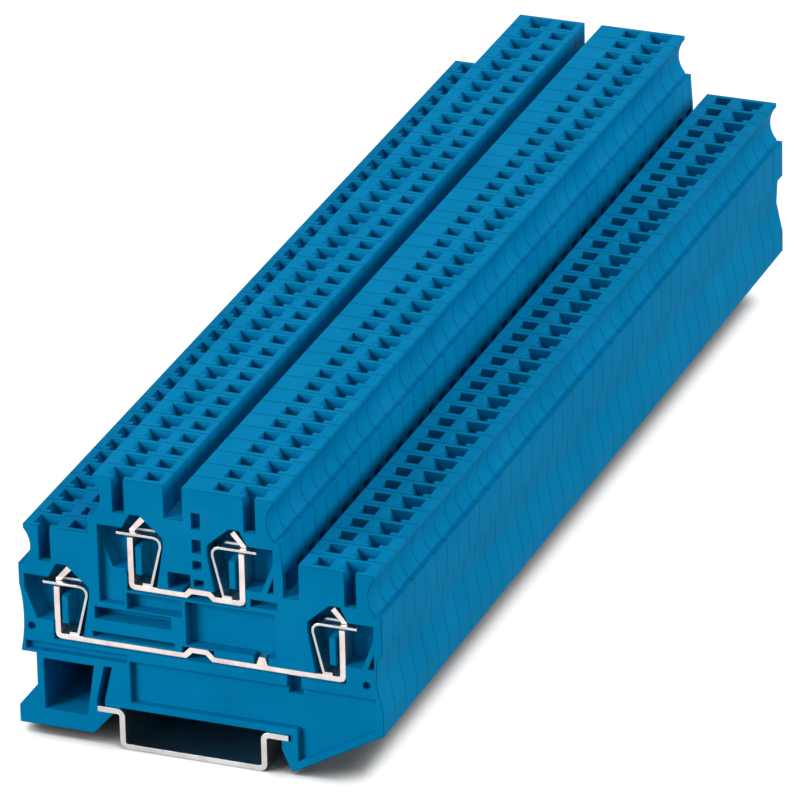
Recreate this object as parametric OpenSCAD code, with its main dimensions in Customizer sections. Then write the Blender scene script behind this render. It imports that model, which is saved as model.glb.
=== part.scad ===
// Double-level spring-cage terminal blocks, latched side by side on a 35 mm top-hat rail.
// X runs across one block, Y along the rail and Z up. The origin lies in the middle of the
// underside of the rail. Heights in the housing are counted from its seat on the rail.
// The open side of every housing faces -Y, and the block behind it is closed by the next one.

/* [Bank] */
// Number of blocks on the rail
module_count = 40; // [1:1:50]
// Width of one block along the rail
pitch = 5.2; // [4.8:0.1:6.2]

/* [Rail] */
// Width over the flanges of the rail
rail_w = 35; // [34:0.5:36]
// Width of the rail over its side walls
rail_base_w = 27; // [25:0.5:28]
// Height of the rail
rail_h = 7.5; // [7.3:0.1:15]
// Sheet thickness of the rail
rail_t = 1.0; // [0.8:0.1:1.4]
// How far the rail stands out at each end of the bank
rail_overhang = 0.5; // [0:0.5:30]
// Width of a screw slot in the rail
rail_slot_w = 6.2; // [4.2:0.1:7]
// Length of a screw slot in the rail
rail_slot_l = 15; // [10:0.5:18]
// Distance between screw slots
rail_slot_pitch = 25; // [22:0.5:36]

/* [Housing outline] */
// Left outer face of the lower row
left_face = -31.4; // [-33:0.2:-31]
// Right outer face of the lower row
right_face = 34.8; // [34.4:0.2:37]
// Left outer face of the upper row
upper_left_face = -18.2; // [-19:0.1:-17.8]
// Right outer face of the upper row
upper_right_face = 16.8; // [16.3:0.1:17.2]
// Top of the lower rows above the rail
lower_top = 32.5; // [31.5:0.1:36]
// Top of the upper rows above the rail
upper_top = 43.7; // [42.7:0.1:48]
// Left edge of the groove between the upper rows
mid_groove_x = -4.2; // [-4.4:0.1:-3.6]
// Width of the groove between the upper rows
mid_groove_w = 3.4; // [2:0.1:3.8]
// Depth of the groove between the upper rows
mid_groove_depth = 6.2; // [3:0.1:8]
// Width of the groove beside the lower right row
side_groove_w = 2.8; // [2:0.1:3.2]
// Depth of the groove beside the lower right row, from that row's top
side_groove_depth = 6.6; // [4:0.1:8]
// How far the lip at a row's top edge stands back from the outer face
lip_back = 1.15; // [0.6:0.05:1.6]
// Height of the lip at a row's top edge
lip_h = 0.8; // [0.4:0.1:1.2]
// Height of the hollow flank from the row's top down to the ledge
flank_h = 7.6; // [6:0.1:9]
// How far the hollow flank bows in
flank_bow = 1.2; // [0.4:0.1:1.5]

/* [Housing walls] */
// Wall that closes the back of each block
back_wall = 0.9; // [0.6:0.1:1.2]
// Wall between the open side and a screwdriver slot
front_wall = 1.2; // [0.8:0.1:1.5]
// Length across the block of a screwdriver slot
driver_l = 3.0; // [2.4:0.1:3.2]
// Length across the block of a wire funnel's mouth
funnel_l = 4.4; // [3.4:0.1:4.6]
// Width of the wire channel under a funnel
channel_w = 2.3; // [1.6:0.1:2.5]
// Depth of the tapered mouth of a wire funnel
funnel_depth = 2.4; // [1:0.1:3]
// Diameter of the pegs that join neighbouring blocks
peg_d = 1.2; // [0.8:0.1:1.3]
// Length of the pegs
peg_l = 0.8; // [0.4:0.1:1]

/* [Foot] */
// Reach of the right foot below the seat
right_foot_drop = 7.1; // [5:0.1:7.2]
// Reach of the left foot below the seat
left_foot_drop = 5.6; // [5:0.1:7]
// Wall round the square window in the left foot
foot_wall = 1.3; // [1:0.1:1.8]
// Width of the slit that lets the latch arm give way
latch_slit = 1.4; // [1:0.1:1.8]
// How far the latch hook reaches under the flange
hook_reach = 2.7; // [1.5:0.1:3.2]

/* [Current bars] */
// Thickness of a current bar
bar_t = 1.0; // [0.8:0.1:1.2]
// Underside of the lower bar above the rail
lower_bar_z = 11.4; // [11.2:0.1:12.4]
// Underside of the upper bar above the rail
upper_bar_z = 22.9; // [22.5:0.1:24.4]
// Middle of the lower bar's left leg
lower_left_leg = -24.6; // [-25:0.1:-24.2]
// Middle of the lower bar's right leg
lower_right_leg = 27.5; // [27.1:0.1:27.9]
// Middle of the upper bar's left leg
upper_left_leg = -10.7; // [-11:0.1:-10.5]
// Middle of the upper bar's right leg
upper_right_leg = 9.6; // [9.4:0.1:9.9]
// Width of the raised bend in the middle of each bar
hump_w = 5.2; // [4.6:0.1:5.6]
// Height of the raised bend in the lower bar
lower_hump_h = 1.2; // [0.6:0.1:1.4]
// Height of the raised bend in the upper bar
upper_hump_h = 0.9; // [0.6:0.1:1.2]
// Height of the lug on the lower bar
lug_h = 1.4; // [0.8:0.1:1.6]

/* [Clamp springs] */
// Thickness of the spring strip
spring_t = 0.45; // [0.3:0.05:0.6]
// Height of the spring's top limb above the bar's underside
clamp_h = 10.3; // [9.6:0.1:10.8]
// Reach of the spring's loop from the leg
loop_reach = 5.8; // [5:0.1:6]
// Bend radius of the loop
loop_r = 1.3; // [0.8:0.1:1.6]
// Reach of the spring's foot from the leg
foot_reach = 3.6; // [3.3:0.1:4]
// Reach of the clamping web outside the leg
web_reach = 2.6; // [2:0.1:3]

/* [Hidden] */
// Blue polyamide, tinned copper, spring steel and zinc-plated steel
housing_colour = "#0a7cb4";
bar_colour = "#d9d5d2";
spring_colour = "#c3c3c4";
rail_colour = "#cfd1d3";
// Play between metal and moulding, and between a tongue and its window
play = 0.12;
// How far a cut runs past the face that it opens
cut = 1;
// Segments of each bend in sheet metal, and sides of round pegs
rail_steps = 4;
spring_steps = 3;
bar_steps = 2;
peg_sides = 24;

bank_l = module_count * pitch;
block_depth = pitch - back_wall;

// Metal strips lie between the open side and the back wall
metal_front = 0.3;
metal_back_play = 0.4;
bar_w = block_depth - metal_front - metal_back_play;
metal_mid = metal_front + bar_w / 2;
spring_inset = 0.2;
spring_w = bar_w - 2 * spring_inset;
tongue_w = 1.4;

// Tongue on top of a leg, which passes through the spring and leans over the loop
tongue_start = clamp_h - spring_t / 2 - 0.3;
tongue_bend = clamp_h + spring_t / 2 + 0.4;
tip_rise = 2.6;
tip_lean = 2;
tip_t = 0.75;

// Chamber round a clamp, in distances from the leg and heights above the bar's underside
chamber_gap = 0.4;
chamber_in = loop_reach + 0.3;
chamber_foot = foot_reach + spring_t / 2 + 2 * chamber_gap;
chamber_top = tongue_bend + tip_rise + 2 * chamber_gap;
wire_space_in = bar_t / 2 + play;
wire_space_out = web_reach + 3.2;
wire_space_low = 3.4;
wire_ramp_in = web_reach + 1;
wire_ramp_top = 9;
ramp_rib = 1.1;
strip_h = 3;
strip_depth = 1.8;
wire_space_top = clamp_h + 1.3;
post_in = bar_t / 2 + 0.55;
post_out = foot_reach - 1.4;
post_low = 3.2;
post_top = clamp_h - loop_r - 0.6;
driver_u = 3.8;
funnel_u = 1.8;
open_channel_h = 6.5;
open_channel_w = channel_w - 0.2;
shaft_back = 0.2;

// Right wall of the groove beside the lower right row, and floors of both grooves
side_groove_x = upper_right_face + 0.4;
lower_right_inner = side_groove_x + side_groove_w;
side_groove_floor = lower_top - side_groove_depth;
mid_groove_floor = upper_top - mid_groove_depth;
groove_notch = 1.0;
groove_notch_h = 4;

// Waist of the right flank, between a small step and the outward sweep to the base
waist_top = 17.9;
waist_low = 6.5;
waist_step = 0.95;
waist_bow = 0.25;
ledge_edge = 0.25;
right_corner_z = 2.5;

// Shallow waist of the left flank above its shoulder
shoulder_z = 8.2;
left_waist_low = shoulder_z + 0.4;
left_waist_top = 21;
left_waist_bow = 0.65;

// Latch foot on the left and fixed claw on the right
flange_edge = rail_w / 2;
flange_play = 0.2;
hook_top = -rail_t - 0.1;
foot_left = -28.7;
foot_flare = 3.5;
flare_top = 2.1;
flare_low = -2.3;
window_top = 7.3;
window_floor = -2.3;
arm_w = 1.9;
arm_lean = 1.5;
slit_top = 7.5;
claw_reach = 1.4;
claw_h = 1.9;
claw_toe = 1.8;

// Shallow hollow of the base, with an even rim above the rail and along the claw
base_rim = 1.4;
base_depth = 1;
base_left = -flange_edge + 6.1;
base_top = lower_bar_z - 2.2;

// Recesses in the open side, each with its left, right, low and high edge and its depth
panel_depth = 2;
right_panel = [-0.8, 15.4, lower_bar_z + 2.7, upper_bar_z - 0.6, panel_depth];
left_panel = [-11.5, -1.5, upper_bar_z - 3.7, upper_bar_z - 0.6, panel_depth];
side_panel = [upper_left_leg - wire_space_out, upper_left_leg - wire_space_in - 0.6, upper_bar_z - 3,
    upper_bar_z + wire_ramp_top, 1.2];
wire_slit = [upper_right_leg + 1.6, upper_right_leg + 6.4, upper_bar_z + 0.4, upper_bar_z + 1.8, 2];
long_slot = [-17.5, -3.5, lower_bar_z + 5.1, lower_bar_z + 7.4, 3];
bar_slit = [-18, -3, lower_bar_z + bar_t + 0.6, lower_bar_z + bar_t + 1.6, 2];
dark_pocket = [-3.8, 0.3, upper_bar_z + bar_t + 0.5, upper_bar_z + bar_t + 3.6, block_depth];
small_pocket = [0.9, 2.7, upper_bar_z + bar_t + 1.5, upper_bar_z + bar_t + 2.9, 2];
upper_slit = [0.8, 2.4, upper_top - 7.4, upper_top - 4.4, 1.5];
middle_slit = [0.8, 2.4, upper_top - 11.9, upper_top - 9.4, 1.5];
low_slit = [0.8, 2.4, upper_top - 15, upper_top - 13.4, 1.5];
bar_notch = [17.4, 20, lower_bar_z - 3.8, lower_bar_z, 2.5];
shoulder_slot = [left_face + 0.9, -12, shoulder_z + 0.6, shoulder_z + 2.1, 1];
recesses = [right_panel, left_panel, side_panel, wire_slit, long_slot, bar_slit, dark_pocket, small_pocket,
    upper_slit, middle_slit, low_slit, bar_notch, shoulder_slot];

// Places of the joining pegs: distance across and height above the rail
peg_places = [[right_face - 2.9, 11.7], [left_face + 2.1, 13.2]];

// Middle of the raised bends, and of the lug on the lower bar
lower_hump_x = 1.3;
upper_hump_x = 1.8;
lug_x = 12.8;
lug_base = 2.4;
lug_top = 1.1;
lug_w = 1.5;
bar_bend_r = 0.7;
spring_foot_l = 1.6;
rail_bend_r = 0.9;

// Each clamp has its leg, its bar's underside, the direction of its loop and its row's top
lower_left = [lower_left_leg, lower_bar_z, 1, lower_top];
upper_left = [upper_left_leg, upper_bar_z, 1, upper_top];
upper_right = [upper_right_leg, upper_bar_z, -1, upper_top];
lower_right = [lower_right_leg, lower_bar_z, -1, lower_top];
clamps = [lower_left, upper_left, upper_right, lower_right];

housing_names = [for (k = [1 : module_count]) str("housing_", k < 10 ? "0" : "", k)];

// Points and paths
function unit(v) = v / norm(v);
function reversed(list) = [for (i = [len(list) - 1 : -1 : 0]) list[i]];
function blend(a, b, t) = a + (b - a) * t;
function turn(a, b) = atan2(a.x * b.y - a.y * b.x, a * b);

// One bend of a path: the arc of radius r that rounds the corner q between p and s in n steps
function bend(p, q, s, r, n) =
    let (a = unit(q - p),
        t = turn(a, unit(s - q)),
        side = sign(t),
        centre = q - r * tan(abs(t) / 2) * a + side * r * [-a.y, a.x],
        start = atan2(-side * a.x, side * a.y))
    r == 0 ? [q] : [for (i = [0 : n]) centre + r * [cos(start + t * i / n), sin(start + t * i / n)]];

// A path of straight stretches whose inner corners are bent to the radii in r
function bent(p, r, n) = concat([p[0]],
    [for (i = [1 : len(p) - 2]) each bend(p[i - 1], p[i], p[i + 1], r[i - 1], n)],
    [p[len(p) - 1]]);

// One edge of a strip that follows a path at distance d
function edge_of(p, d) = [for (i = [0 : len(p) - 1])
    let (a = unit(i > 0 ? p[i] - p[i - 1] : p[1] - p[0]),
        b = i < len(p) - 1 ? unit(p[i + 1] - p[i]) : a,
        m = a + b)
    p[i] + 2 * d * [-m.y, m.x] / (m * m)];

// Outer side of a row from its lip down to the ledge, with side 1 on the right and -1 on the left
function row_flank(face, top, side) =
    let (lip = face - side * lip_back)
    [[lip, top], [lip, top - flank_h], [face, top - flank_h]];

// Waist of the right flank, from the step under the ledge down to the base
function right_waist() = [[right_face, waist_top], [right_face - waist_step, waist_top - waist_step],
    [right_face - waist_step - waist_bow, (waist_top + waist_low) / 2], [right_face, waist_low]];

// Left foot from the shoulder round its underside to the hook under the flange
function latch_foot() =
    let (hook_x = -flange_edge + hook_reach, seat_left = -flange_edge + latch_slit)
    [[foot_left, shoulder_z], [foot_left, flare_top], [foot_left - foot_flare, flare_low],
        [foot_left - foot_flare, -left_foot_drop], [-flange_edge - 1, -left_foot_drop],
        [hook_x, hook_top - 0.3], [hook_x, hook_top], [-flange_edge - flange_play, hook_top],
        [-flange_edge - flange_play, 0]];

// Right foot from the claw under the flange round its toe to the outer corner
function claw_foot() =
    let (inner = flange_edge + flange_play, tip = flange_edge - claw_reach)
    [[inner, 0], [inner, hook_top], [tip, hook_top], [tip, hook_top - claw_h],
        [tip + claw_toe, -right_foot_drop], [right_face, right_corner_z]];

// Hollow of the base, which follows the sloping underside of the right foot at the rim's distance
function base_hollow() =
    let (inner = flange_edge + flange_play + base_rim,
        outer = right_face - base_rim,
        toe = [flange_edge - claw_reach + claw_toe, -right_foot_drop],
        slope = (right_corner_z - toe.y) / (right_face - toe.x),
        rise = base_rim * sqrt(1 + slope * slope))
    [[base_left, base_rim], [inner, base_rim], [inner, toe.y + slope * (inner - toe.x) + rise],
        [outer, toe.y + slope * (outer - toe.x) + rise], [outer, base_top], [base_left, base_top]];

// Outline of one housing, clockwise from the latch foot
function housing_outline() = concat(
    reversed(latch_foot()),
    [[left_face, shoulder_z]],
    reversed(row_flank(left_face, lower_top, -1)),
    [[upper_left_face, lower_top]],
    reversed(row_flank(upper_left_face, upper_top, -1)),
    [[mid_groove_x, upper_top], [mid_groove_x, mid_groove_floor],
        [mid_groove_x + mid_groove_w, mid_groove_floor], [mid_groove_x + mid_groove_w, upper_top]],
    row_flank(upper_right_face, upper_top, 1),
    [[side_groove_x, lower_top - 3], [side_groove_x, side_groove_floor],
        [lower_right_inner, side_groove_floor], [lower_right_inner, lower_top]],
    row_flank(right_face, lower_top, 1),
    right_waist(),
    reversed(claw_foot()));

// Square window in the latch foot
function foot_window() =
    let (left = foot_left + foot_wall,
        right = -flange_edge - flange_play - arm_w)
    [[left, window_floor], [right, window_floor], [right + arm_lean, window_top], [left, window_top]];

// Slit between the latch arm and the body, open towards the flange
function arm_slit() =
    let (foot = -flange_edge - flange_play)
    [[foot, -rail_t / 2], [foot + latch_slit, -rail_t / 2], [foot + latch_slit, 1],
        [foot + arm_lean + latch_slit, slit_top], [foot + arm_lean, slit_top], [foot, 1]];

// Chamber of a clamp on the open side, with the wire's way in beside the leg and a ramp below it
function chamber() = [
    [-wire_space_in, 0], [-wire_space_in, wire_space_low], [-wire_ramp_in, wire_space_low],
    [-wire_space_out, wire_ramp_top], [-wire_space_out, wire_space_top], [-bar_t - 0.3, wire_space_top],
    [0.2, chamber_top],
    [tip_lean, chamber_top], [chamber_in, clamp_h + chamber_gap], [chamber_in, clamp_h - loop_r],
    [chamber_foot, 0]];

// Three-cornered strip outside the rib that carries the ramp
function ramp_strip() =
    [[-wire_ramp_in - ramp_rib, wire_space_low], [-wire_space_out, wire_space_low],
        [-wire_space_out, wire_space_low + strip_h]];

// Middle line of a clamp spring, from the clamping web over the loop to its foot on the bar
function spring_path() =
    let (foot_z = bar_t + spring_t / 2)
    bent([[-web_reach, clamp_h], [loop_reach, clamp_h], [foot_reach, foot_z],
        [foot_reach - spring_foot_l, foot_z]], [loop_r, 0], spring_steps);

// Middle line of a current bar with its two legs and its raised bend
function bar_path(left, right, hump_x, hump_h) =
    let (mid = bar_t / 2, top = mid + hump_h, r = bar_bend_r,
        a = hump_x - hump_w / 2, b = hump_x + hump_w / 2)
    bent([[left, tongue_start], [left, mid], [a, mid], [a + hump_h, top], [b - hump_h, top], [b, mid],
        [right, mid], [right, tongue_start]], [r, 0, 0, 0, 0, r], bar_steps);

// Middle line of the rail's sheet
function rail_path() =
    let (flange = rail_h - rail_t / 2, wall = rail_base_w / 2 - rail_t / 2, r = rail_bend_r)
    bent([[-flange_edge, flange], [-wall, flange], [-wall, rail_t / 2], [wall, rail_t / 2],
        [wall, flange], [flange_edge, flange]], [r, r, r, r], rail_steps);

// Round hollow in an upright edge at x, between two heights, with side 1 on the right and -1 on the left
module hollow(x, low, high, bow, side) {
    chord = high - low;
    r = (chord * chord / 4 + bow * bow) / (2 * bow);
    translate([x, (low + high) / 2])
        mirror([side > 0 ? 1 : 0, 0])
            intersection() {
                translate([bow - r, 0]) circle(r = r, $fn = 96);
                translate([-0.1, -chord]) square([bow + 1, 2 * chord]);
            }
}

// Hollow of a row's flank, between its lip and its ledge
module flank_hollow(face, top, side) {
    hollow(face - side * lip_back, top - flank_h + ledge_edge, top - lip_h, flank_bow, side);
}

// Strip of thickness t along a path
module strip(path, t) {
    polygon(concat(edge_of(path, t / 2), reversed(edge_of(path, -t / 2))));
}

// Extrudes a drawing in X and Z from y0 to y1
module along_y(y0, y1) {
    translate([0, y1, 0])
        rotate([90, 0, 0])
            linear_extrude(height = y1 - y0)
                children();
}

// Puts a drawing of a clamp, made for a loop on the right, at one of the clamps
module at_clamp(clamp) {
    translate([clamp[0], 0, clamp[1]])
        mirror([clamp[2] < 0 ? 1 : 0, 0, 0])
            children();
}

// Repeats a piece for every block, at its place on the rail
module every_block() {
    for (k = [1 : module_count])
        at_block(k) children();
}

module at_block(k) {
    translate([0, (k - 1) * pitch - bank_l / 2, rail_h])
        children();
}

// Space cut from the housing for one clamp, with the funnel and the slot that lead to it
module clamp_space(clamp) {
    top = clamp[3] - clamp[1];
    at_clamp(clamp) {
        along_y(-cut, block_depth)
            difference() {
                polygon(chamber());
                translate([post_in, post_low])
                    square([post_out - post_in, post_top - post_low]);
            }
        driver_slot(top);
        wire_funnel(top);
    }
}

module driver_slot(top) {
    low = clamp_h + chamber_gap;
    along_y(front_wall, block_depth - shaft_back)
        translate([driver_u - driver_l / 2, low])
            square([driver_l, top - low + cut]);
}

module wire_funnel(top) {
    half = channel_w / 2;
    low = top - funnel_depth;
    translate([-funnel_u, 0, 0]) {
        along_y(front_wall, block_depth - shaft_back)
            polygon([[-half, wire_space_top - cut], [half, wire_space_top - cut], [half, low],
                [funnel_l / 2, top], [funnel_l / 2, top + cut], [-funnel_l / 2, top + cut],
                [-funnel_l / 2, top], [-half, low]]);
        along_y(-cut, metal_mid)
            translate([-open_channel_w / 2, top - open_channel_h])
                square([open_channel_w, open_channel_h + cut]);
    }
}

// Channel that a current bar lies in, open under its raised bend
module bar_space(z, left, right, hump_x, hump_h) {
    end = bar_t / 2 + play;
    height = bar_t + 2 * play;
    translate([0, 0, z - play])
        along_y(-cut, block_depth) {
            translate([left - end, 0])
                square([right - left + 2 * end, height]);
            translate([hump_x - hump_w / 2 - end / 2, 0])
                square([hump_w + end, height + hump_h]);
        }
}

module recess(r) {
    along_y(-cut, r[4])
        translate([r[0], r[2]])
            square([r[1] - r[0], r[3] - r[2]]);
}

module peg(d, y0, y1) {
    translate([0, y0, 0])
        rotate([-90, 0, 0])
            cylinder(d = d, h = y1 - y0, $fn = peg_sides);
}

// One moulded housing, with every chamber open towards -Y
module housing_body() {
    difference() {
        union() {
            along_y(0, pitch)
                difference() {
                    polygon(housing_outline());
                    flank_hollow(left_face, lower_top, -1);
                    flank_hollow(upper_left_face, upper_top, -1);
                    flank_hollow(upper_right_face, upper_top, 1);
                    flank_hollow(right_face, lower_top, 1);
                    hollow(left_face, left_waist_low, left_waist_top, left_waist_bow, -1);
                    polygon(foot_window());
                    polygon(arm_slit());
                }
            for (p = peg_places)
                translate([p.x, 0, p.y]) peg(peg_d, block_depth, pitch + peg_l);
        }
        for (clamp = clamps)
            clamp_space(clamp);
        bar_space(lower_bar_z, lower_left_leg, lower_right_leg, lower_hump_x, lower_hump_h);
        bar_space(upper_bar_z, upper_left_leg, upper_right_leg, upper_hump_x, upper_hump_h);
        for (r = recesses)
            recess(r);
        along_y(-cut, base_depth) polygon(base_hollow());
        for (clamp = [upper_right, lower_right])
            at_clamp(clamp) along_y(-cut, strip_depth) polygon(ramp_strip());
        for (p = peg_places)
            translate([p.x, 0, p.y]) peg(peg_d + 2 * play, -cut, peg_l + 2 * play);
        lug_space();
        groove_opening();
    }
}

// Room above the lower bar for its lug, open towards the panel
module lug_space() {
    along_y(-cut, metal_front + lug_w + play)
        translate([lug_x - lug_base / 2 - play, lower_bar_z])
            square([lug_base + 2 * play, right_panel[2] - lower_bar_z + cut]);
}

// Notch in the wall of the side groove
module groove_opening() {
    along_y(front_wall, block_depth - shaft_back)
        translate([side_groove_x - groove_notch, side_groove_floor])
            square([groove_notch + side_groove_w / 2, groove_notch_h]);
}

module housing(k) {
    color(housing_colour)
        at_block(k) housing_body();
}

// One current bar with the tongues on its two legs
module current_bar(z, left, right, hump_x, hump_h) {
    translate([0, 0, z]) {
        along_y(metal_front, metal_front + bar_w)
            strip(bar_path(left, right, hump_x, hump_h), bar_t);
        for (leg = [[left, z, 1], [right, z, -1]])
            at_clamp([leg[0], 0, leg[2]])
                along_y(metal_mid - tongue_w / 2, metal_mid + tongue_w / 2)
                    polygon(tongue());
    }
}

// Tongue of a leg: it rises through the spring and leans over the loop
function tongue() =
    let (half = bar_t / 2, top = tongue_bend + tip_rise)
    [[-half, tongue_start - half], [half, tongue_start - half], [half, tongue_bend - 0.2],
        [tip_lean + tip_t / 2, top - tip_t], [tip_lean - tip_t / 2, top], [-half, tongue_bend]];

module lug() {
    translate([lug_x, 0, lower_bar_z])
        along_y(metal_front, metal_front + lug_w)
            polygon([[-lug_base / 2, bar_t / 2], [lug_base / 2, bar_t / 2], [lug_top / 2, bar_t + lug_h],
                [-lug_top / 2, bar_t + lug_h]]);
}

module lower_current_bars() {
    color(bar_colour)
        every_block() {
            current_bar(lower_bar_z, lower_left_leg, lower_right_leg, lower_hump_x, lower_hump_h);
            lug();
        }
}

module upper_current_bars() {
    color(bar_colour)
        every_block()
            current_bar(upper_bar_z, upper_left_leg, upper_right_leg, upper_hump_x, upper_hump_h);
}

// One bent spring strip, with the window that its leg's tongue passes through
module clamp_spring() {
    half = tongue_w / 2 + play;
    difference() {
        along_y(metal_front + spring_inset, metal_front + spring_inset + spring_w)
            strip(spring_path(), spring_t);
        along_y(metal_mid - half, metal_mid + half)
            translate([-bar_t / 2 - play, clamp_h - spring_t])
                square([loop_reach - loop_r, 2 * spring_t]);
    }
}

module springs_at(clamp) {
    color(spring_colour)
        every_block()
            at_clamp(clamp) clamp_spring();
}

module lower_left_springs() {
    springs_at(lower_left);
}

module upper_left_springs() {
    springs_at(upper_left);
}

module upper_right_springs() {
    springs_at(upper_right);
}

module lower_right_springs() {
    springs_at(lower_right);
}

// Top-hat rail with a row of screw slots, centred on the bank
module mounting_rail() {
    slot_count = floor((bank_l - rail_slot_l) / rail_slot_pitch / 2) * 2;
    color(rail_colour)
        difference() {
            along_y(-bank_l / 2 - rail_overhang, bank_l / 2 + rail_overhang)
                strip(rail_path(), rail_t);
            for (i = [1 : slot_count])
                translate([0, (i - (slot_count + 1) / 2) * rail_slot_pitch, 0])
                    rail_slot();
        }
}

module rail_slot() {
    reach = (rail_slot_l - rail_slot_w) / 2;
    for (y = [-reach, reach])
        translate([0, y, -cut])
            cylinder(d = rail_slot_w, h = rail_t + 2 * cut, $fn = 48);
    translate([-rail_slot_w / 2, -reach, -cut])
        cube([rail_slot_w, 2 * reach, rail_t + 2 * cut]);
}

for (k = [1 : module_count])
    housing(k);
lower_current_bars();
upper_current_bars();
lower_left_springs();
upper_left_springs();
upper_right_springs();
lower_right_springs();
mounting_rail();
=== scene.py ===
"""Dresses a bank of double-level terminal blocks on its top-hat rail and sets it in a pale studio."""
import logging
import math
from dataclasses import dataclass
from enum import Enum

import bpy
from mathutils import Matrix, Vector


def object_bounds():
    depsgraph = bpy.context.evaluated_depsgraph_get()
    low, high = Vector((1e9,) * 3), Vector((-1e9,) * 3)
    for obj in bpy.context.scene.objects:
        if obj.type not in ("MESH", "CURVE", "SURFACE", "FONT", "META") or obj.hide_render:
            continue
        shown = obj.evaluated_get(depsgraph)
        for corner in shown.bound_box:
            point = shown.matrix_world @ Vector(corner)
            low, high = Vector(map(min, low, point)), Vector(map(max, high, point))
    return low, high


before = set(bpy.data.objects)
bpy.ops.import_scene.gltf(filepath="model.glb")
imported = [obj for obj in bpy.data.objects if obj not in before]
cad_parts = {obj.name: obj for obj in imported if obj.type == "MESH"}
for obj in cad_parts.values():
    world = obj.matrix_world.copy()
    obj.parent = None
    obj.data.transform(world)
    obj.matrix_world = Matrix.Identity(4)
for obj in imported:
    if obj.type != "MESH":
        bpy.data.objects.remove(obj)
CAD_BOX: tuple[Vector, Vector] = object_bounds()
LOG = logging.getLogger("terminal_bank")
MM = 0.001
IMAGE_PX = 800
# Rays that are sent out from each point to ease the edges, which also places the painted shade at the
# joints of the blocks, and to find how near the bank is for the shadow painted on the floor.
EDGE_SAMPLES = 8
PAINTED_SHADOW_SAMPLES = 8
# Every noise pattern is softly clouded, with a little fine breakup.
NOISE_BREAKUP = {"Detail": 3.0, "Roughness": 0.6}
# Most of such a pattern lies between the low and the high value.
NOISE_LOW, NOISE_MIDDLE, NOISE_HIGH = 0.3, 0.5, 0.7


def linear(code: str) -> tuple[float, float, float, float]:
    """Turns an sRGB hex colour into a linear one.

    Args:
        code: Six hex digits, with or without a leading hash.

    Returns:
        Linear red, green, blue and an alpha of 1.
    """
    digits = code.lstrip("#")
    parts = [int(digits[i:i + 2], 16) / 255 for i in (0, 2, 4)]
    r, g, b = [p / 12.92 if p <= 0.04045 else ((p + 0.055) / 1.055) ** 2.4 for p in parts]
    return r, g, b, 1.0


def per_metre(size_mm: float) -> float:
    """Returns a texture scale at which one cycle is size_mm long."""
    return 1.0 / (size_mm * MM)


def add_node(tree: bpy.types.NodeTree, kind: str, settings: dict[str, object] | None = None,
             inputs: dict[str, object] | None = None) -> bpy.types.Node:
    """Adds one shader node with its settings and links.

    Args:
        tree: Node tree that takes the node.
        kind: Blender's identifier of the node.
        settings: Properties of the node itself.
        inputs: Input values by socket name; an output socket is linked instead of set.

    Returns:
        The new node.
    """
    node = tree.nodes.new(kind)
    for name, value in (settings or {}).items():
        setattr(node, name, value)
    for name, value in (inputs or {}).items():
        socket = node.inputs[name]
        if isinstance(value, bpy.types.NodeSocket):
            tree.links.new(value, socket)
        else:
            socket.default_value = value
    return node


def grey(value: float) -> tuple[float, float, float, float]:
    """Returns a neutral linear colour."""
    return value, value, value, 1.0


def fresh_material(name: str) -> tuple[bpy.types.Material, bpy.types.NodeTree, bpy.types.Node]:
    """Makes an empty material with a Principled shader.

    Args:
        name: Name of the material.

    Returns:
        The material, its node tree and the shader node.
    """
    material = bpy.data.materials.new(name)
    material.use_nodes = True
    tree = material.node_tree
    tree.nodes.clear()
    shader = add_node(tree, "ShaderNodeBsdfPrincipled")
    add_node(tree, "ShaderNodeOutputMaterial", inputs={"Surface": shader.outputs["BSDF"]})
    return material, tree, shader


class Rolling(Enum):
    """The axis along which a sheet was rolled, by its place among x, y and z."""

    ACROSS_THE_RAIL = 0
    ALONG_THE_RAIL = 1


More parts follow.
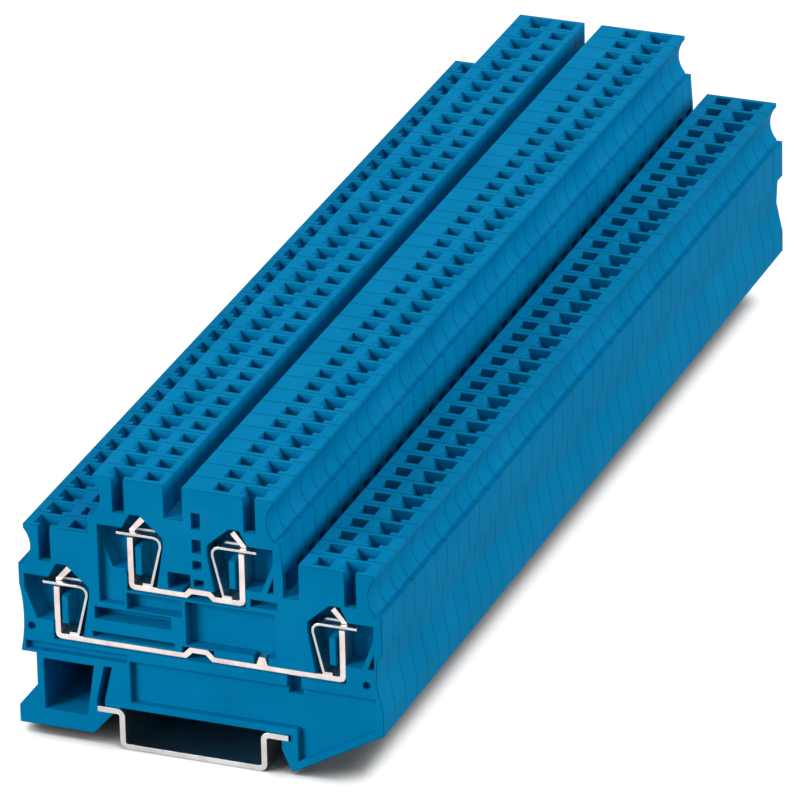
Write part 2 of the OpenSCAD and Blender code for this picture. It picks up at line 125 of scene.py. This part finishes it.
@dataclass(frozen=True)
class Surface:
    """What all finishes share: colour that drifts a little, uneven gloss, a fine relief and eased edges."""

    name: str
    deep: str
    colour: str
    pale: str
    drift_mm: float
    roughness_low: float
    roughness_high: float
    relief_mm: float
    relief_strength: float
    edge_mm: float

    def make(self) -> bpy.types.Material:
        """Builds the material.

        Returns:
            The new material.
        """
        material, tree, shader = fresh_material(self.name)
        place = add_node(tree, "ShaderNodeTexCoord").outputs["Object"]
        relief = self.relief(tree, place)
        gloss = add_node(tree, "ShaderNodeMapRange", inputs={
            "Value": relief, "From Min": NOISE_LOW, "From Max": NOISE_HIGH,
            "To Min": self.roughness_low, "To Max": self.roughness_high})
        edges = add_node(tree, "ShaderNodeBevel", {"samples": EDGE_SAMPLES}, {"Radius": self.edge_mm * MM})
        bump = add_node(tree, "ShaderNodeBump", inputs={
            "Strength": self.relief_strength, "Distance": self.relief_mm * MM, "Height": relief,
            "Normal": edges.outputs["Normal"]})
        tone = self.shade(tree, self.tone(tree, place), edges.outputs["Normal"])
        tree.links.new(tone, shader.inputs["Base Color"])
        tree.links.new(gloss.outputs["Result"], shader.inputs["Roughness"])
        tree.links.new(bump.outputs["Normal"], shader.inputs["Normal"])
        self.set_body(shader)
        return material

    def tone(self, tree: bpy.types.NodeTree, place: bpy.types.NodeSocket) -> bpy.types.NodeSocket:
        """Lets the colour drift in soft clouds from the deep tone to the pale one.

        Args:
            tree: Node tree of the material.
            place: Object coordinates.

        Returns:
            The colour's socket.
        """
        drift = add_node(tree, "ShaderNodeTexNoise", inputs={
            "Vector": place, "Scale": per_metre(self.drift_mm), **NOISE_BREAKUP})
        tones = add_node(tree, "ShaderNodeValToRGB", inputs={"Fac": drift.outputs["Fac"]})
        stops = tones.color_ramp.elements
        stops[0].position, stops[0].color = NOISE_LOW, linear(self.deep)
        stops[1].position, stops[1].color = NOISE_HIGH, linear(self.pale)
        stops.new(NOISE_MIDDLE).color = linear(self.colour)
        return tones.outputs["Color"]

    def shade(self, tree: bpy.types.NodeTree, tone: bpy.types.NodeSocket,
              eased: bpy.types.NodeSocket) -> bpy.types.NodeSocket:
        """Leaves the colour as it is; a finish whose pieces meet at joints paints shade there."""
        return tone

    def relief(self, tree: bpy.types.NodeTree, place: bpy.types.NodeSocket) -> bpy.types.NodeSocket:
        """Draws the fine relief that the way of making leaves; each kind of finish has its own."""
        raise NotImplementedError

    def set_body(self, shader: bpy.types.Node) -> None:
        """Sets what the material itself gives the shader; each kind of finish has its own."""
        raise NotImplementedError


@dataclass(frozen=True)
class MouldedPolyamide(Surface):
    """Polyamide, injection moulded in a spark-eroded tool, which leaves it satin with a fine grain.

    Painted shade is laid into the colour at the joints between blocks and along the other eased edges that
    turn along the rail, such as those round the front face and its recesses. It starts where the eased edge
    turns along the rail by joint_turn_low, and is at its darkest, set as the painted shade of the joints,
    from joint_turn_high on.
    """

    grain_mm: float
    ior: float
    specular: float
    joint_turn_low: float
    joint_turn_high: float
    painted_joint_shade: float

    def shade(self, tree: bpy.types.NodeTree, tone: bpy.types.NodeSocket,
              eased: bpy.types.NodeSocket) -> bpy.types.NodeSocket:
        """Paints shade into the colour where an eased edge turns along the rail: at the joints where a
        block meets the next one, and round the edges of the front face and its recesses.

        Args:
            tree: Node tree of the material.
            tone: Colour of the plastic.
            eased: Normal with eased edges.

        Returns:
            The colour's socket.
        """
        plain = add_node(tree, "ShaderNodeNewGeometry").outputs["Normal"]
        turned = add_node(tree, "ShaderNodeVectorMath", {"operation": "SUBTRACT"})
        tree.links.new(eased, turned.inputs[0])
        tree.links.new(plain, turned.inputs[1])
        parts = add_node(tree, "ShaderNodeSeparateXYZ", inputs={"Vector": turned.outputs["Vector"]})
        along_rail = add_node(tree, "ShaderNodeMath", {"operation": "ABSOLUTE"})
        tree.links.new(parts.outputs["Y"], along_rail.inputs[0])
        # Painted shade: darker where the eased normal turns along the rail, at the joints and round the
        # front face and its recesses.
        painted_shade = add_node(tree, "ShaderNodeMapRange", inputs={
            "Value": along_rail.outputs[0], "From Min": self.joint_turn_low,
            "From Max": self.joint_turn_high, "To Min": 1.0, "To Max": self.painted_joint_shade})
        shaded = add_node(tree, "ShaderNodeVectorMath", {"operation": "SCALE"}, {
            "Vector": tone, "Scale": painted_shade.outputs["Result"]})
        return shaded.outputs["Vector"]

    def relief(self, tree: bpy.types.NodeTree, place: bpy.types.NodeSocket) -> bpy.types.NodeSocket:
        """Draws the grain of the tool.

        Args:
            tree: Node tree of the material.
            place: Object coordinates.

        Returns:
            The grain's height socket.
        """
        # The real grain is about 0.03 mm, too fine to show, so it is drawn ten times coarser.
        grain = add_node(tree, "ShaderNodeTexNoise", inputs={
            "Vector": place, "Scale": per_metre(self.grain_mm), **NOISE_BREAKUP})
        return grain.outputs["Fac"]

    def set_body(self, shader: bpy.types.Node) -> None:
        """Sets the weak, clear reflection of the plastic."""
        shader.inputs["IOR"].default_value = self.ior
        shader.inputs["Specular IOR Level"].default_value = self.specular


@dataclass(frozen=True)
class RolledMetal(Surface):
    """Sheet metal with the fine lines of rolling, bare or under a thin plating."""

    line_mm: float
    line_length_mm: float
    rolling: Rolling
    metallic: float = 1.0

    def relief(self, tree: bpy.types.NodeTree, place: bpy.types.NodeSocket) -> bpy.types.NodeSocket:
        """Draws the lines of rolling, long in one direction and narrow in the others.

        Args:
            tree: Node tree of the material.
            place: Object coordinates.

        Returns:
            The lines' height socket.
        """
        scale = [per_metre(self.line_mm)] * 3
        scale[self.rolling.value] = per_metre(self.line_length_mm)
        stretched = add_node(tree, "ShaderNodeMapping", inputs={"Vector": place, "Scale": scale})
        lines = add_node(tree, "ShaderNodeTexNoise", inputs={
            "Vector": stretched.outputs["Vector"], "Scale": 1.0, **NOISE_BREAKUP})
        return lines.outputs["Fac"]

    def set_body(self, shader: bpy.types.Node) -> None:
        """Makes the shader a metal's."""
        shader.inputs["Metallic"].default_value = self.metallic


class Finish(Enum):
    """The four finishes of the bank, each with what it gives the eye."""

    # Moulded polyamide: an even, satin blue, with shade painted along the fine joints from block to block
    # and along other edges that turn along the rail.
    POLYAMIDE = MouldedPolyamide(
        name="moulded_polyamide_blue", deep="#0073A3", colour="#0077A8", pale="#057BAC", drift_mm=14.0,
        roughness_low=0.44, roughness_high=0.58, relief_mm=0.012, relief_strength=0.35, edge_mm=0.26,
        grain_mm=0.35, ior=1.53, specular=0.006, joint_turn_low=0.02, joint_turn_high=0.25, painted_joint_shade=0.5)
    # Tin plating on copper strip: pale, warm white and only softly bright.
    TIN = RolledMetal(
        name="tin_plated_copper_strip", deep="#D2C3BF", colour="#E2D5D1", pale="#ECE2DF", drift_mm=3.0,
        roughness_low=0.28, roughness_high=0.42, relief_mm=0.006, relief_strength=0.3, edge_mm=0.1,
        line_mm=0.12, line_length_mm=6.0, rolling=Rolling.ACROSS_THE_RAIL)
    # Bright rolled spring strip: cooler and a little darker than the tin.
    SPRING_STEEL = RolledMetal(
        name="rolled_spring_steel", deep="#B9B7B6", colour="#C9C8C8", pale="#D6D6D6", drift_mm=4.0,
        roughness_low=0.22, roughness_high=0.36, relief_mm=0.006, relief_strength=0.3, edge_mm=0.1,
        line_mm=0.1, line_length_mm=4.0, rolling=Rolling.ACROSS_THE_RAIL)
    # Zinc plated and passivated sheet: pale grey with a cloudy bloom, smooth enough to mirror dark corners.
    ZINC = RolledMetal(
        name="zinc_plated_sheet_steel", deep="#BDBAB8", colour="#CDCBC9", pale="#DCDBDA", drift_mm=6.0,
        roughness_low=0.22, roughness_high=0.26, relief_mm=0.001, relief_strength=0.3, edge_mm=0.1,
        line_mm=0.2, line_length_mm=30.0, rolling=Rolling.ALONG_THE_RAIL)


def dress(node: str, material: bpy.types.Material) -> bpy.types.Object:
    """Gives a CAD node one material all over.

    Args:
        node: Name of the node.
        material: Material that it takes.

    Returns:
        The node's object.
    """
    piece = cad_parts[node]
    if not piece.material_slots:
        piece.data.materials.append(material)
    for slot in piece.material_slots:
        slot.material = material
    return piece


@dataclass
class HousingBank:
    """The moulded housings, one per block."""

    stem: str = "housing_"
    finish: Finish = Finish.POLYAMIDE

    def build(self) -> list[bpy.types.Object]:
        """Dresses every housing.

        Returns:
            The housings' objects, in order along the rail.
        """
        material = self.finish.value.make()
        return [dress(name, material) for name in sorted(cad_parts) if name.startswith(self.stem)]


@dataclass
class Metalwork:
    """Current bars and clamp springs inside the housings, and the rail below them."""

    bars: tuple[str, ...] = ("lower_current_bars", "upper_current_bars")
    springs: tuple[str, ...] = ("lower_left_springs", "upper_left_springs", "upper_right_springs",
                                "lower_right_springs")
    rails: tuple[str, ...] = ("mounting_rail",)

    def build(self) -> list[bpy.types.Object]:
        """Dresses the bars, the springs and the rail in their own metals.

        Returns:
            The metal pieces' objects.
        """
        made = []
        for finish, names in ((Finish.TIN, self.bars), (Finish.SPRING_STEEL, self.springs),
                              (Finish.ZINC, self.rails)):
            material = finish.value.make()
            made += [dress(name, material) for name in names]
        return made


@dataclass
class Camera:
    """The photograph's viewpoint, worked out from the rail and the blocks."""

    azimuth_deg: float = 21.567
    elevation_deg: float = 25.473
    roll_deg: float = -1.333
    focal_px: float = 9198.2
    across_mm: float = 34.946
    up_mm: float = 61.133
    distance_mm: float = 1567.518
    front_y_mm: float = -104.0
    sensor_mm: float = 36.0
    clip_m: tuple[float, float] = (0.05, 20.0)

    def build(self) -> bpy.types.Object:
        """Makes the scene's camera.

        Returns:
            The camera object.
        """
        turn, tilt, roll = (math.radians(v) for v in (self.azimuth_deg, self.elevation_deg, self.roll_deg))
        level = Vector((math.cos(turn), math.sin(turn), 0.0))
        back = Vector((math.sin(turn) * math.cos(tilt), -math.cos(turn) * math.cos(tilt), math.sin(tilt)))
        upright = back.cross(level)
        right = level * math.cos(roll) + upright * math.sin(roll)
        up = upright * math.cos(roll) - level * math.sin(roll)
        place = right * self.across_mm + up * self.up_mm + back * self.distance_mm
        place += Vector((0.0, self.front_y_mm, 0.0))
        data = bpy.data.cameras.new("photo_camera")
        data.sensor_width = self.sensor_mm
        data.lens = self.focal_px / IMAGE_PX * self.sensor_mm
        data.clip_start, data.clip_end = self.clip_m
        camera = bpy.data.objects.new("photo_camera", data)
        camera.matrix_world = Matrix((
            (right.x, up.x, back.x, place.x * MM), (right.y, up.y, back.y, place.y * MM),
            (right.z, up.z, back.z, place.z * MM), (0.0, 0.0, 0.0, 1.0)))
        bpy.context.scene.collection.objects.link(camera)
        bpy.context.scene.camera = camera
        return camera


@dataclass
class Lamp:
    """A soft box: a square area light that faces the bank."""

    name: str
    place_m: tuple[float, float, float]
    size_m: float
    power_w: float
    target_m: tuple[float, float, float] = (0.0, 0.0, 0.02)

    def build(self) -> bpy.types.Object:
        """Makes the lamp.

        Returns:
            The lamp object.
        """
        data = bpy.data.lights.new(self.name, "AREA")
        data.shape = "SQUARE"
        data.size = self.size_m
        data.energy = self.power_w
        lamp = bpy.data.objects.new(self.name, data)
        lamp.location = self.place_m
        aim = Vector(self.target_m) - Vector(self.place_m)
        lamp.rotation_euler = aim.to_track_quat("-Z", "Y").to_euler()
        bpy.context.scene.collection.objects.link(lamp)
        return lamp


def seen_directly(tree: bpy.types.NodeTree) -> bpy.types.NodeSocket:
    """Adds the test for rays that should meet plain white.

    Args:
        tree: Node tree that takes the nodes.

    Returns:
        A socket that is 1 for camera, glossy and transmission rays and 0 for the others.
    """
    path = add_node(tree, "ShaderNodeLightPath")
    first = add_node(tree, "ShaderNodeMath", {"operation": "MAXIMUM"})
    tree.links.new(path.outputs["Is Camera Ray"], first.inputs[0])
    tree.links.new(path.outputs["Is Glossy Ray"], first.inputs[1])
    both = add_node(tree, "ShaderNodeMath", {"operation": "MAXIMUM"})
    tree.links.new(first.outputs[0], both.inputs[0])
    tree.links.new(path.outputs["Is Transmission Ray"], both.inputs[1])
    return both.outputs[0]


@dataclass(frozen=True)
class WhitePaper:
    """Matt paper of the studio floor: plain white to the eye, apart from the shadow close to the bank,
    which is partly cast by the lamps and partly painted.
    """

    name: str = "white_paper_sweep"
    colour: str = "#868685"
    roughness: float = 0.9
    glow: float = 0.91
    painted_shadow_mm: float = 7.8
    painted_shadow_lean: tuple[float, float, float] = (-0.42, -0.32, 0.85)
    painted_shadow_dark: float = 0.52
    painted_shadow_clear: float = 0.81

    def make(self) -> bpy.types.Material:
        """Builds the material.

        Returns:
            The new material.
        """
        material, tree, shader = fresh_material(self.name)
        shader.inputs["Base Color"].default_value = linear(self.colour)
        shader.inputs["Roughness"].default_value = self.roughness
        shader.inputs["Specular IOR Level"].default_value = 0.0
        shader.inputs["Emission Color"].default_value = grey(1.0)
        # Close under the bank the paper's glow is dimmed by how near the bank is: a thin painted shadow
        # along the lower edge, on top of the real shadow that the lamps cast on the paper. What is near is
        # looked for on the side of the front box, so the painted shadow falls away from it.
        lean = add_node(tree, "ShaderNodeCombineXYZ", inputs=dict(zip("XYZ", self.painted_shadow_lean)))
        near = add_node(tree, "ShaderNodeAmbientOcclusion", {"samples": PAINTED_SHADOW_SAMPLES}, {
            "Distance": self.painted_shadow_mm * MM, "Normal": lean.outputs["Vector"]})
        painted_shadow = add_node(tree, "ShaderNodeMapRange", inputs={
            "Value": near.outputs["AO"], "From Min": self.painted_shadow_dark, "From Max": self.painted_shadow_clear,
            "To Min": 0.0, "To Max": self.glow})
        glow = add_node(tree, "ShaderNodeMath", {"operation": "MULTIPLY"})
        tree.links.new(seen_directly(tree), glow.inputs[0])
        tree.links.new(painted_shadow.outputs["Result"], glow.inputs[1])
        tree.links.new(glow.outputs[0], shader.inputs["Emission Strength"])
        return material


@dataclass
class Studio:
    """Pale floor, even light and a white background."""

    floor_m: float = 6.0
    floor_gap_mm: float = 0.05
    paper: WhitePaper = WhitePaper()
    world_light: float = 0.36
    lamps: tuple[Lamp, ...] = (
        Lamp("top_box", place_m=(0.15, 0.7, 1.1), size_m=0.8, power_w=5.8),
        Lamp("front_box", place_m=(-0.8, -0.95, 0.5), size_m=0.6, power_w=16.5),
        Lamp("right_box", place_m=(1.2, 0.1, 0.45), size_m=0.8, power_w=10.0),
        Lamp("back_box", place_m=(0.3, 1.2, 0.45), size_m=0.6, power_w=3.0),
    )

    def build(self) -> None:
        """Sets the world, the floor and the lamps."""
        self.world()
        self.floor()
        for lamp in self.lamps:
            lamp.build()

    def world(self) -> None:
        """Lights the scene evenly, with white where the camera or a reflection sees the background."""
        world = bpy.data.worlds.new("studio")
        world.use_nodes = True
        tree = world.node_tree
        tree.nodes.clear()
        light = add_node(tree, "ShaderNodeBackground", inputs={
            "Color": grey(1.0), "Strength": self.world_light})
        white = add_node(tree, "ShaderNodeBackground", inputs={"Color": grey(1.0), "Strength": 1.0})
        mix = add_node(tree, "ShaderNodeMixShader", inputs={"Fac": seen_directly(tree)})
        tree.links.new(light.outputs[0], mix.inputs[1])
        tree.links.new(white.outputs[0], mix.inputs[2])
        add_node(tree, "ShaderNodeOutputWorld", inputs={"Surface": mix.outputs[0]})
        bpy.context.scene.world = world

    def floor(self) -> bpy.types.Object:
        """Lays the floor on which the rail rests.

        Returns:
            The floor object.
        """
        level = CAD_BOX[0].z - self.floor_gap_mm * MM
        bpy.ops.object.select_all(action="DESELECT")
        bpy.ops.mesh.primitive_plane_add(size=self.floor_m, location=(0.0, 0.0, level))
        floor = bpy.context.active_object
        floor.name = "studio_floor"
        bpy.ops.object.transform_apply(location=True, rotation=True, scale=True)
        floor.data.materials.append(self.paper.make())
        return floor


def write_sizes() -> None:
    """Brings the view layer up to date."""
    bpy.context.view_layer.update()


def main() -> None:
    """Builds the sub-assemblies in order and reports their pieces, then sets the studio and the camera."""
    logging.basicConfig(level=logging.INFO, format="%(name)s: %(message)s")
    bpy.context.scene.view_settings.view_transform = "Standard"
    for assembly in (HousingBank(), Metalwork()):
        for piece in assembly.build():
            LOG.info("%s dressed in %s", piece.name, piece.material_slots[0].material.name)
    Studio().build()
    Camera().build()
    write_sizes()


if __name__ == "__main__":
    main()
